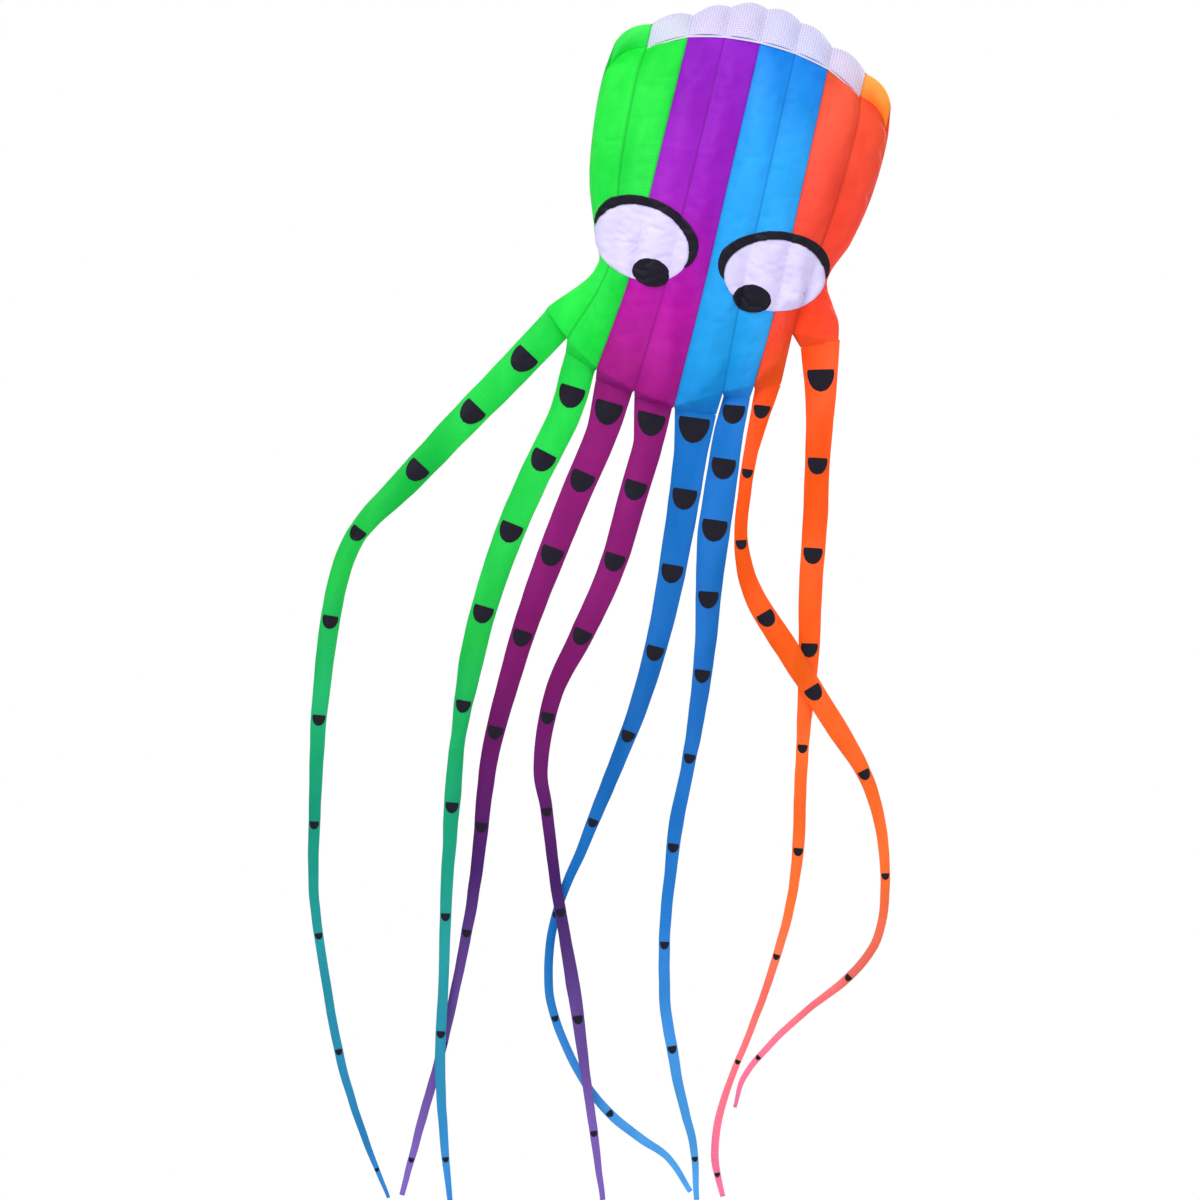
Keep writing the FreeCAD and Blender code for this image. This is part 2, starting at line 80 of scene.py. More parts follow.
# Seams by number, 0 in the middle and 4 at the side, as (distance from the middle, height) in mm.
# The left side, -4, has its own line, and the other seams are alike on both sides.
SEAM_LINES = {
    0: ((0, 650), (0, 300), (0, 100)),
    1: ((97, 650), (100, 300), (102, 100)),
    2: ((194, 650), (198, 300), (200, 100)),
    3: ((301, 620), (292, 400), (262, 110)),
    4: ((394, 600), (386, 450), (360, 320), (320, 208), (348, 150), (376, 104)),
    -4: ((394, 600), (386, 450), (364, 320), (322, 200), (290, 110)),
}
NOSE_X = (0, 97, 193, 295, 383)
FRONT_NOSE_Z = (790, 784, 764, 712, 640)
BACK_NOSE_Z = (889, 872, 826, 776, 704)
NOSE_DEPTHS = (50, 47, 37, 2, 0)
NOSE_SCALLOP = 0.016
SIDE_SWELL = 0.016
# The whole sewn head, which the panels are cut from and the eyes are laid on.
HEAD_CLOTH = "head_cloth"
CELL_WIDTH, CELL_LENGTH = 0.105, 1.03
# Where each seam opens between two legs, from the seam at the left side to the one at the right.
SLITS = ((-398, -32), (-327, -106), (-232, -164), (-120, -198), (-6, -216), (114, -150), (192, -112), (261, 48),
         (388, 50))
ROOTS = {
    1: ((-404, -48), (-328, -100)),
    2: ((-324, -140), (-236, -172)),
    3: ((-228, -196), (-124, -206)),
    4: ((-116, -216), (-10, -224)),
    5: ((-2, -224), (110, -214)),
    6: ((118, -160), (189, -146)),
    7: ((196, -122), (262, -96)),
    8: ((292, 14), (390, 60)),
}
# Depth of the head down its length, as (share of the seam, share of the full depth).
DEPTH_PROFILE = ((0.12, 0.78), (0.3, 1.0), (0.5, 0.93), (0.7, 0.68), (0.87, 0.3), (1.0, 0.0))

# Middle line of each leg from root to tip, as (x, z, width as a share of the leg width).
LEG_ROUTES = {
    1: ((-455, -225, 0.94), (-558, -395, 0.88), (-662, -572, 0.8), (-760, -738, 0.58), (-783, -860, 0.57),
        (-778, -1020, 0.56), (-752, -1245, 0.46), (-711, -1470, 0.35), (-665, -1690, 0.29), (-605, -1860, 0.26),
        (-485, -2140, 0.25), (-375, -2330, 0.2), (-276, -2472, 0.1)),
    2: ((-288, -300, 0.9), (-325, -460, 0.87), (-362, -655, 0.83), (-382, -850, 0.74), (-384, -1010, 0.7),
        (-373, -1212, 0.42), (-352, -1370, 0.48), (-328, -1520, 0.38), (-300, -1680, 0.33), (-262, -1870, 0.29),
        (-222, -2085, 0.3), (-160, -2300, 0.24), (-112, -2440, 0.15)),
    3: ((-180, -330, 0.9), (-210, -500, 0.86), (-240, -695, 0.8), (-264, -890, 0.69), (-275, -1070, 0.6),
        (-279, -1222, 0.52), (-270, -1345, 0.46), (-250, -1500, 0.38), (-236, -1650, 0.33), (-228, -1860, 0.27),
        (-227, -2060, 0.26), (-236, -2250, 0.25), (-243, -2460, 0.15)),
    4: ((-52, -330, 0.84), (-60, -480, 0.81), (-72, -680, 0.74), (-107, -862, 0.68), (-148, -1040, 0.52),
        (-138, -1246, 0.41), (-98, -1350, 0.35), (-36, -1520, 0.32), (30, -1680, 0.34), (80, -1800, 0.4),
        (125, -1915, 0.34), (168, -2030, 0.27), (226, -2180, 0.24), (288, -2345, 0.15)),
    5: ((66, -330, 0.95), (77, -460, 0.88), (89, -655, 0.78), (93, -835, 0.65), (84, -1020, 0.54),
        (66, -1152, 0.46), (44, -1290, 0.4), (22, -1430, 0.31), (-4, -1580, 0.25), (-6, -1700, 0.25),
        (22, -1835, 0.25), (84, -1948, 0.24), (180, -2060, 0.24), (272, -2128, 0.27), (356, -2166, 0.25),
        (436, -2200, 0.2), (515, -2275, 0.15)),
    6: ((155, -270, 0.85), (165, -400, 0.9), (176, -530, 0.92), (197, -680, 0.74), (222, -830, 0.6),
        (243, -1040, 0.46), (249, -1165, 0.38), (253, -1312, 0.42), (268, -1450, 0.34), (288, -1600, 0.32),
        (334, -1795, 0.32), (376, -1900, 0.32), (424, -2012, 0.28), (494, -2150, 0.22), (534, -2288, 0.15)),
    7: ((226, -180, 0.56), (224, -290, 0.4), (232, -400, 0.37), (248, -515, 0.37), (285, -612, 0.5),
        (340, -690, 0.62), (420, -768, 0.68), (520, -868, 0.62), (625, -972, 0.6), (716, -1066, 0.42),
        (780, -1170, 0.34), (828, -1300, 0.28), (851, -1420, 0.25), (846, -1515, 0.25), (800, -1610, 0.25),
        (720, -1710, 0.2), (640, -1825, 0.19), (585, -1935, 0.17), (578, -2022, 0.1)),
    8: ((364, -60, 0.94), (386, -165, 0.78), (407, -285, 0.7), (430, -405, 0.71), (470, -645, 0.66),
        (497, -770, 0.6), (538, -1025, 0.36), (562, -1160, 0.35), (588, -1290, 0.35), (601, -1400, 0.28),
        (603, -1510, 0.26), (592, -1680, 0.22), (573, -1830, 0.19), (552, -1960, 0.19), (545, -2070, 0.22),
        (562, -2180, 0.22), (604, -2268, 0.14)),
}
# Each eye as (name, side of the middle, middle and radii of the white, middle of the pupil) in mm.
EYES = (
    ("left", -1, (190, 187), (133, 97), (147, 115)),
    ("right", 1, (178, 182), (137, 95), (132, 108)),
)
# Which way a leg leans to clear its neighbours: -1 in front, 1 behind, 0 in the middle.
LAYERS = {1: 0, 2: -1, 3: 1, 4: -1, 5: 1, 6: -1, 7: -1, 8: 1}
LEG_LEAN = 0.0115
# Spots down each leg: distance of the first, first step and growth of the step, in mm.
SPOT_STEPS = {
    1: (135, 190, 8.5),
    2: (100, 180, 10.5),
    3: (75, 190, 9.0),
    4: (60, 175, 9.0),
    5: (50, 180, 8.0),
    6: (50, 140, 9.5),
    7: (70, 160, 11.0),
    8: (100, 225, 6.0),
}
MOST_SPOTS = 12
TIP_MARGIN = 0.06


class KiteSizes(bpy.types.PropertyGroup):
    """Sizes of the soft pieces that a user would change."""

    head_depth: bpy.props.FloatProperty(
        name="Head depth", description="Half of the head's thickness at its fullest", default=0.125,
        unit="LENGTH", subtype="DISTANCE")
    cell_bulge: bpy.props.FloatProperty(
        name="Cell bulge", description="Height of a cell's crown as a share of its width", default=0.13,
        subtype="FACTOR")
    leg_width: bpy.props.FloatProperty(
        name="Leg width", description="Width of the widest leg at its root", default=0.095,
        unit="LENGTH", subtype="DISTANCE")
    leg_fullness: bpy.props.FloatProperty(
        name="Leg fullness", description="Thickness of a leg as a share of its width", default=0.3,
        subtype="FACTOR")
    wrinkle: bpy.props.FloatProperty(
        name="Wrinkle depth", description="Depth of the creases in the legs", default=0.0016,
        unit="LENGTH", subtype="DISTANCE")
    spot_share: bpy.props.FloatProperty(
        name="Spot width", description="Width of a spot as a share of the leg's width", default=0.8,
        subtype="FACTOR")


class KiteColours(bpy.types.PropertyGroup):
    """Dye colours of the sewn-on patches, as sRGB hex values."""

    white: bpy.props.StringProperty(name="White", description="Colour of the eyes", default="D8D2F2")
    black: bpy.props.StringProperty(name="Black", description="Colour of spots and pupils", default="07040F")


def sizes():
    return bpy.context.scene.kite_sizes


# ---------------------------------------------------------------- lines and tables

def between(table, where):
    """Value of a table of (position, value) pairs, with straight lines between them."""
    if where <= table[0][0]:
        return table[0][1]
    for (x0, y0), (x1, y1) in zip(table, table[1:]):
        if where <= x1:
            return y0 + (y1 - y0) * (where - x0) / (x1 - x0)
    return table[-1][1]


def smooth(share):
    share = min(1.0, max(0.0, share))
    return share * share * (3 - 2 * share)


class Line:
    """Smooth line through points, read by its length in metres."""

    STEPS = 16

    def __init__(self, points):
        points = [Vector(p) for p in points]
        ends = [2 * points[0] - points[1], *points, 2 * points[-1] - points[-2]]
        self.points = []
        for p0, p1, p2, p3 in zip(ends, ends[1:], ends[2:], ends[3:]):
            start = (p2 - p0) / ((p2 - p0).length or 1) * (p2 - p1).length
            stop = (p3 - p1) / ((p3 - p1).length or 1) * (p2 - p1).length
            for step in range(self.STEPS):
                t = step / self.STEPS
                self.points.append(
                    (2 * t**3 - 3 * t**2 + 1) * p1 + (t**3 - 2 * t**2 + t) * start
                    + (3 * t**2 - 2 * t**3) * p2 + (t**3 - t**2) * stop)
        self.points.append(points[-1])
        self.lengths = [0.0]
        for a, b in zip(self.points, self.points[1:]):
            self.lengths.append(self.lengths[-1] + (b - a).length)
        self.marks = self.lengths[:: self.STEPS]
        self.length = self.lengths[-1]

    def at(self, length):
        length = min(self.length, max(0.0, length))
        low, high = 0, len(self.lengths) - 1
        while high - low > 1:
            middle = (low + high) // 2
            if self.lengths[middle] <= length:
                low = middle
            else:
                high = middle
        span = self.lengths[high] - self.lengths[low] or 1
        return self.points[low].lerp(self.points[high], (length - self.lengths[low]) / span)

    def along(self, length):
        reach = 0.012
        return (self.at(length + reach) - self.at(length - reach)).normalized()


# ---------------------------------------------------------------- the head's surface

SEAM_CACHE = {}
SLIT_ROW = 0.9


def seam_line(seam, side):
    """Line of a seam from the nose to where it opens between two legs."""
    if (seam, side) not in SEAM_CACHE:
        sign = -1 if seam < 0 else 1
        nose_z = FRONT_NOSE_Z if side == FRONT else BACK_NOSE_Z
        points = [(sign * NOSE_X[abs(seam)], nose_z[abs(seam)])]
        line = SEAM_LINES[seam] if seam in SEAM_LINES else SEAM_LINES[-seam]
        points += [(sign * x, z) for x, z in line]
        points.append(SLITS[seam + 4])
        SEAM_CACHE[seam, side] = Line([(x * MM, 0, z * MM) for x, z in points])
    return SEAM_CACHE[seam, side]


def seam_depth(seam, share):
    """Distance of a seam from the middle plane of the head; both skins meet at the leg roots."""
    if abs(seam) == 4:
        return 0.0
    deepest = sizes().head_depth
    full = math.sqrt(1 - (seam / 4) ** 2)
    first_share, first_depth = DEPTH_PROFILE[0]
    if share < first_share:
        start = NOSE_DEPTHS[abs(seam)] * MM
        end = deepest * first_depth * full
        return start + (end - start) * math.sin(math.pi / 2 * share / first_share)
    root = 0.005 * (1 - smooth((share - SLIT_ROW) / (1 - SLIT_ROW)))
    return root + (deepest - 0.005) * full * between(DEPTH_PROFILE, share)


def seam_point(cell, which, side, share):
    """Point on the left (0) or right (1) seam of a cell at a share of its length."""
    seam = cell - 5 + which
    line = seam_line(seam, side)
    if share <= SLIT_ROW:
        point = line.at(line.length * share / SLIT_ROW)
    else:
        x, z = ROOTS[cell][which]
        point = line.at(line.length).lerp(Vector((x * MM, 0, z * MM)), (share - SLIT_ROW) / (1 - SLIT_ROW))
    return Vector((point.x, MIDDLE_Y + side * seam_depth(seam, share), point.z))


def skin_point(cell, side, across, share):
    """Point of a cell's crowned fabric; across runs from its left to its right seam."""
    left = seam_point(cell, 0, side, share)
    right = seam_point(cell, 1, side, share)
    chord = right - left
    outward = chord.cross(Vector((0, 0, -side))).normalized()
    arch = 4 * across * (1 - across)
    outer = cell in (1, 8)
    crown = sizes().cell_bulge * (1.7 if outer else 1.15)
    crown *= smooth(share / 0.07) if outer else 0.45 + 0.55 * smooth(share / 0.06)
    crown += (sizes().leg_fullness / 2 - crown) * smooth((share - 0.8) / 0.2)
    point = left + chord * across + outward * crown * chord.length * arch
    if outer:
        sign = -1 if cell == 1 else 1
        swell = SIDE_SWELL * arch * (1 - smooth(share / 0.2))
        point += Vector((sign * 0.7, 0, 0.7)) * swell
    elif side == BACK:
        point.z += NOSE_SCALLOP * arch * (1 - smooth(share / 0.05))
    return point


def fabric_uvs(mesh_edit, faces, place):
    """Store real fabric sizes in one UV map and shares of the cell in another."""
    metres = mesh_edit.loops.layers.uv.get("fabric") or mesh_edit.loops.layers.uv.new("fabric")
    shares = mesh_edit.loops.layers.uv.get("share") or mesh_edit.loops.layers.uv.new("share")
    for face in faces:
        for loop in face.loops:
            across, down, width, length = place[loop.vert]
            loop[metres].uv = (across * width, down * length)
            loop[shares].uv = (across, down)


def add_grid(mesh_edit, columns, rows, point_at, width, length, flip=False):
    """Grid of fabric whose points lie where point_at(across, down) says."""
    made = bmesh.ops.create_grid(mesh_edit, x_segments=columns, y_segments=rows, size=1.0)["verts"]
    place = {}
    for vert in made:
        across, down = (vert.co.x + 1) / 2, (1 - vert.co.y) / 2
        place[vert] = (across, down, width, length)
        vert.co = point_at(across, down)
    faces = {face for vert in made for face in vert.link_faces}
    fabric_uvs(mesh_edit, faces, place)
    if flip:
        bmesh.ops.reverse_faces(mesh_edit, faces=list(faces))
    return made, faces


def face_front(mesh_edit):
    """Turn a sheet's faces so that they point to the side with the eyes."""
    bmesh.ops.recalc_face_normals(mesh_edit, faces=mesh_edit.faces[:])
    if sum(face.normal.y * face.calc_area() for face in mesh_edit.faces) > 0:
        bmesh.ops.reverse_faces(mesh_edit, faces=mesh_edit.faces[:])


def skin_under(mesh_edits):
    """Search tree of the fabric that patches are sewn onto."""
    whole = bmesh.new()
    for mesh in mesh_edits:
        whole.from_mesh(mesh)
    bmesh.ops.triangulate(whole, faces=whole.faces[:])
    tree = BVHTree.FromBMesh(whole)
    whole.free()
    return tree


def lay_on(tree, x, z, lift):
    """Point just in front of the fabric at one place of the XZ plane."""
    place, normal, number, far = tree.ray_cast(Vector((x, -0.7, z)), Vector((0, 1, 0)), 0.7 + MIDDLE_Y + 0.03)
    if place is None:
        place, normal, number, far = tree.find_nearest(Vector((x, MIDDLE_Y - 0.01, z)))
    if normal.y > 0:
        normal = -normal
    return place + normal * lift


def add_piece(name, mesh_edit, material, body=None):
    """Turn a finished bmesh into an object of the kite."""
    mesh = bpy.data.meshes.new(name)
    mesh_edit.to_mesh(mesh)
    mesh_edit.free()
    for polygon in mesh.polygons:
        polygon.use_smooth = True
    piece = bpy.data.objects.new(name, mesh)
    bpy.context.scene.collection.objects.link(piece)
    mesh.materials.append(material)
    if body:
        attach(piece, body)
    return piece


def apply_modifiers(piece):
    """Keep the shape that the piece's modifiers give and drop the modifiers."""
    graph = bpy.context.evaluated_depsgraph_get()
    mesh = bpy.data.meshes.new_from_object(piece.evaluated_get(graph), depsgraph=graph)
    piece.modifiers.clear()
    old = piece.data
    piece.data = mesh
    bpy.data.meshes.remove(old)


AIR_FRAMES = 18


def blow_up(piece, seams, cap):
    """Fill the pinned fabric with air by cloth simulation and keep the result."""
    held = piece.vertex_groups.new(name="seams")
    held.add(seams, 1.0, "REPLACE")
    start = [vert.co.copy() for vert in piece.data.vertices]
    cloth = piece.modifiers.new("air", "CLOTH")
    fabric = cloth.settings
    fabric.quality = 5
    fabric.mass = 0.05
    fabric.air_damping = 3
    fabric.tension_stiffness = 12
    fabric.compression_stiffness = 12
    fabric.shear_stiffness = 4
    fabric.bending_stiffness = 0.05
    fabric.vertex_group_mass = "seams"
    fabric.use_pressure = True
    fabric.uniform_pressure_force = 3.0
    fabric.shrink_min = -0.022
    fabric.effector_weights.gravity = 0
    scene = bpy.context.scene
    cloth.point_cache.frame_start, cloth.point_cache.frame_end = 1, AIR_FRAMES
    for number in range(1, AIR_FRAMES + 1):
        scene.frame_set(number)
    apply_modifiers(piece)
    scene.frame_set(1)
    for vert, before in zip(piece.data.vertices, start):
        move = vert.co - before
        if move.length > cap:
            vert.co = before + move.normalized() * cap
    piece.vertex_groups.clear()


# ---------------------------------------------------------------- materials

def linear(value):
    """Linear colour of an sRGB hex value."""
    parts = [int(value[i:i + 2], 16) / 255 for i in (0, 2, 4)]
    return tuple(p / 12.92 if p <= 0.04045 else ((p + 0.055) / 1.055) ** 2.4 for p in parts) + (1.0,)


def add(tree, kind, links=None, **settings):
    """Add a node, set its properties and sockets, and link its inputs."""
    node = tree.nodes.new(kind)
    for name, value in settings.items():
        if name.startswith("in_"):
            key = name[3:]
            node.inputs[int(key) if key.isdigit() else key.replace("_", " ")].default_value = value
        else:
            setattr(node, name, value)
    for key, source in (links or {}).items():
        tree.links.new(source, node.inputs[key])
    return node


def new_tree(name):
    material = bpy.data.materials.new(name)
    material.use_nodes = True
    material.node_tree.nodes.clear()
    return material, material.node_tree


def ramp(tree, factor, stops):
    """Colour ramp over (place, hex) stops."""
    node = add(tree, "ShaderNodeValToRGB", {"Fac": factor})
    elements = node.color_ramp.elements
    while len(elements) < len(stops):
        elements.new(0.5)
    for element, (place, value) in zip(elements, stops):
        element.position = place
        element.color = linear(value)
    return node.outputs["Color"]


def ripstop(name, stops, reach):
    """Ripstop nylon, woven, calendered and dyed through: a thin film of strong colour that glows when lit from
    behind.  The reinforcing threads are 5 mm apart and are drawn every 10 mm, so that they show from afar."""
    material, tree = new_tree(name)
    fabric = add(tree, "ShaderNodeUVMap", uv_map="fabric").outputs["UV"]
    shares = add(tree, "ShaderNodeUVMap", uv_map="share").outputs["UV"]
    place = add(tree, "ShaderNodeTexCoord").outputs["Object"]
    down = add(tree, "ShaderNodeSeparateXYZ", {0: shares}).outputs
    # The ramp down the cell is the stripe's dye together with the painted light and shade of its stops.
    dye = ramp(tree, down["Y"], stops)
    # Painted light: wide, soft patches of lighter and darker colour stand for the highlights and shade of
    # backlit folds.
    drawn = add(tree, "ShaderNodeMapping", {"Vector": place}, in_Scale=(7.0, 7.0, 2.2)).outputs[0]
    cloud = add(tree, "ShaderNodeTexNoise", {"Vector": drawn}, in_Scale=1.0, in_Detail=3.0)
    # pale is the painted highlight and deep the painted shade of these folds; deep also colours the threads.
    pale = add(tree, "ShaderNodeHueSaturation", {"Color": dye}, in_Saturation=0.97, in_Value=1.12)
    deep = add(tree, "ShaderNodeHueSaturation", {"Color": dye}, in_Value=0.84)
    patch = add(tree, "ShaderNodeMapRange", {"Value": cloud.outputs["Fac"]}, in_1=0.36, in_2=0.66)
    painted_fold_light = add(tree, "ShaderNodeMix", {0: patch.outputs[0], 6: deep.outputs[0], 7: pale.outputs[0]},
                  data_type="RGBA")
    threads = add(tree, "ShaderNodeTexBrick", {"Vector": fabric}, offset=0.0, in_Scale=1.0,
                  in_Mortar_Size=0.0007, in_Brick_Width=0.010, in_Row_Height=0.010, in_Mortar_Smooth=0.8)
    faint = add(tree, "ShaderNodeMath", {0: threads.outputs["Fac"]}, operation="MULTIPLY", in_1=0.45)
    woven = add(tree, "ShaderNodeMix", {0: faint.outputs[0], 6: painted_fold_light.outputs[2], 7: deep.outputs[0]},
                data_type="RGBA")
    seam = add(tree, "ShaderNodeMath", {0: down["X"]}, operation="PINGPONG", in_1=0.5)
    near = add(tree, "ShaderNodeMapRange", {"Value": seam.outputs[0]}, in_1=0.0, in_2=0.05, in_3=1.0, in_4=0.0)
    dark = add(tree, "ShaderNodeHueSaturation", {"Color": dye}, in_Value=0.5)
    share = add(tree, "ShaderNodeMath", {0: near.outputs[0]}, operation="MULTIPLY", in_1=0.7)
    sewn = add(tree, "ShaderNodeMix", {0: share.outputs[0], 6: woven.outputs[2], 7: dark.outputs[0]},
               data_type="RGBA")
    crinkle = add(tree, "ShaderNodeTexNoise", {"Vector": place}, in_Scale=1 / 0.03, in_Detail=4.0,
                  in_Distortion=0.6)
    bump = add(tree, "ShaderNodeBump", {"Height": crinkle.outputs["Fac"]}, in_Strength=0.3, in_Distance=reach)
    skin = add(tree, "ShaderNodeBsdfPrincipled", {"Base Color": sewn.outputs[2], "Normal": bump.outputs[0]},
               in_Roughness=0.58, in_Specular_IOR_Level=0.22)
    glow = add(tree, "ShaderNodeBsdfTranslucent", {"Color": sewn.outputs[2], "Normal": bump.outputs[0]})
    mix = add(tree, "ShaderNodeMixShader", {1: skin.outputs[0], 2: glow.outputs[0]}, in_Fac=0.35)
    add(tree, "ShaderNodeOutputMaterial", {"Surface": mix.outputs[0]})
    return material


def applique(name, value, edge_value):
    """Dyed nylon patch, cut out and sewn on with a close satin stitch: a matt even colour with a corded rim."""
    material, tree = new_tree(name)
    place = add(tree, "ShaderNodeTexCoord").outputs["Object"]
    shares = add(tree, "ShaderNodeUVMap", uv_map="share").outputs["UV"]
    rim = add(tree, "ShaderNodeSeparateXYZ", {0: shares}).outputs["Y"]
    cloud = add(tree, "ShaderNodeTexNoise", {"Vector": place}, in_Scale=1 / 0.05, in_Detail=3.0)
    weave = add(tree, "ShaderNodeTexVoronoi", {"Vector": place}, in_Scale=1 / 0.005)
    dye = add(tree, "ShaderNodeMix", {0: cloud.outputs["Fac"]}, data_type="RGBA")
    dye.inputs[6].default_value = linear(value)
    dye.inputs[7].default_value = linear(edge_value)
    worn = add(tree, "ShaderNodeMapRange", {"Value": rim}, in_1=0.93, in_2=1.0)
    edge = add(tree, "ShaderNodeMix", {0: worn.outputs[0], 6: dye.outputs[2]}, data_type="RGBA")
    edge.inputs[7].default_value = linear(edge_value)
    height = add(tree, "ShaderNodeMath", {0: cloud.outputs["Fac"], 1: weave.outputs["Distance"]},
                 operation="ADD")
    bump = add(tree, "ShaderNodeBump", {"Height": height.outputs[0]}, in_Strength=0.3, in_Distance=0.0012)
    cloth = add(tree, "ShaderNodeBsdfPrincipled", {"Base Color": edge.outputs[2], "Normal": bump.outputs[0]},
                in_Roughness=0.6, in_Specular_IOR_Level=0.2)
    add(tree, "ShaderNodeOutputMaterial", {"Surface": cloth.outputs[0]})
    return material


def gauze(name, value):
    """Polyester mesh, warp-knitted with open holes: white threads that let the air and some light in.
    The holes are 2 mm apart and are drawn every 7 mm, so that they show from afar."""
    material, tree = new_tree(name)
    fabric = add(tree, "ShaderNodeUVMap", uv_map="fabric").outputs["UV"]
    holes = add(tree, "ShaderNodeTexVoronoi", {"Vector": fabric}, in_Scale=1 / 0.007, in_Randomness=0.15)
    open_share = add(tree, "ShaderNodeMapRange", {"Value": holes.outputs["Distance"]},
                     in_1=0.22, in_2=0.34, in_3=0.45, in_4=0.0)
    bump = add(tree, "ShaderNodeBump", {"Height": holes.outputs["Distance"]},
               in_Strength=0.5, in_Distance=0.001)
    thread = add(tree, "ShaderNodeBsdfPrincipled", {"Normal": bump.outputs[0]}, in_Roughness=0.7,
                 in_Base_Color=linear(value))
    clear = add(tree, "ShaderNodeBsdfTransparent")
    mix = add(tree, "ShaderNodeMixShader",
              {0: open_share.outputs[0], 1: thread.outputs[0], 2: clear.outputs[0]})
    add(tree, "ShaderNodeOutputMaterial", {"Surface": mix.outputs[0]})
    return material


def tape(name, value):
    """Polyester grosgrain tape, woven with cross ribs: dull, with fine ridges 1.5 mm apart."""
    material, tree = new_tree(name)
    place = add(tree, "ShaderNodeTexCoord").outputs["Object"]
    ridges = add(tree, "ShaderNodeTexNoise", {"Vector": place}, in_Scale=1 / 0.0015, in_Detail=2.0)
    shade = add(tree, "ShaderNodeMix", {0: ridges.outputs["Fac"]}, data_type="RGBA")
    shade.inputs[6].default_value = linear(value)
    shade.inputs[7].default_value = linear("8E8CA8")
    bump = add(tree, "ShaderNodeBump", {"Height": ridges.outputs["Fac"]}, in_Strength=0.5, in_Distance=0.0006)
    cloth = add(tree, "ShaderNodeBsdfPrincipled", {"Base Color": shade.outputs[2], "Normal": bump.outputs[0]},
                in_Roughness=0.8)
    add(tree, "ShaderNodeOutputMaterial", {"Surface": cloth.outputs[0]})
    return material


# Colour down each head cell, from the nose (0) to the leg roots (1): the stripe's dye with painted light and
# shade on it, such as the brighter magenta where the purple bulges below the eyes and the darker blue at the
# nose and the roots.
HEAD_DYE_AND_PAINTED_LIGHT = {
    "green": ((0.0, "00EC3C"), (0.5, "12F04A"), (0.85, "00F046"), (1.0, "00E04C")),
    "purple": ((0.0, "9A00D0"), (0.4, "AC00D0"), (0.68, "D000B8"), (0.86, "B80094"), (1.0, "A00082")),
    "blue": ((0.0, "0090F8"), (0.3, "00B0FF"), (0.8, "00B0FA"), (1.0, "0086DC")),
    "orange": ((0.0, "FF5C34"), (0.35, "FF4A30"), (0.8, "FF4010"), (1.0, "FF5A00")),
}
# Colour down each leg, from the root (0) to the tip (1): the stripe's dye, with painted shade darkening the
# green, purple and blue down the leg, and fading to another hue at the tip.
LEG_DYE_AND_PAINTED_SHADE = {
    "green": ((0.0, "00E04C"), (0.35, "00C84C"), (0.62, "00A890"), (1.0, "2C8CD8")),
    "purple": ((0.0, "A00082"), (0.35, "8C0074"), (0.6, "4A1470"), (1.0, "8C6CC8")),
    "blue": ((0.0, "0086DC"), (0.35, "0074C8"), (0.65, "0080D0"), (1.0, "58B4F0")),
    "orange": ((0.0, "FF5A00"), (0.35, "FF6A00"), (0.65, "FF8030"), (1.0, "F07CB0")),
}
# Colour down each gusset: the stripe's green and orange, painted lighter and yellower than the front panels as
# painted light from behind.
GUSSET_DYE_AND_PAINTED_LIGHT = {
    "green": ((0.0, "3CEC5C"), (1.0, "14E04C")),
    "orange": ((0.0, "FFB848"), (1.0, "FF9426")),
}
SHADES = {"head": HEAD_DYE_AND_PAINTED_LIGHT, "leg": LEG_DYE_AND_PAINTED_SHADE, "gusset": GUSSET_DYE_AND_PAINTED_LIGHT}


def fabric_of(kind, colour):
    """The ripstop of one stripe, for the head, its gussets or the legs, made once."""
    name = f"ripstop_nylon_{kind}_{colour}"
    if name not in bpy.data.materials:
        ripstop(name, SHADES[kind][colour], 0.0025 if kind == "leg" else 0.004)
    return bpy.data.materials[name]


def patch_of(colour):
    name = f"satin_stitched_nylon_{colour}"
    if name not in bpy.data.materials:
        colours = bpy.context.scene.kite_colours
        if colour == "white":
            applique(name, colours.white, "C2B8E4")
        else:
            applique(name, colours.black, "0E0820")
    return bpy.data.materials[name]


def tape_white():
    return bpy.data.materials.get("grosgrain_tape_white") or tape("grosgrain_tape_white", "E8E6F4")


# ---------------------------------------------------------------- operators

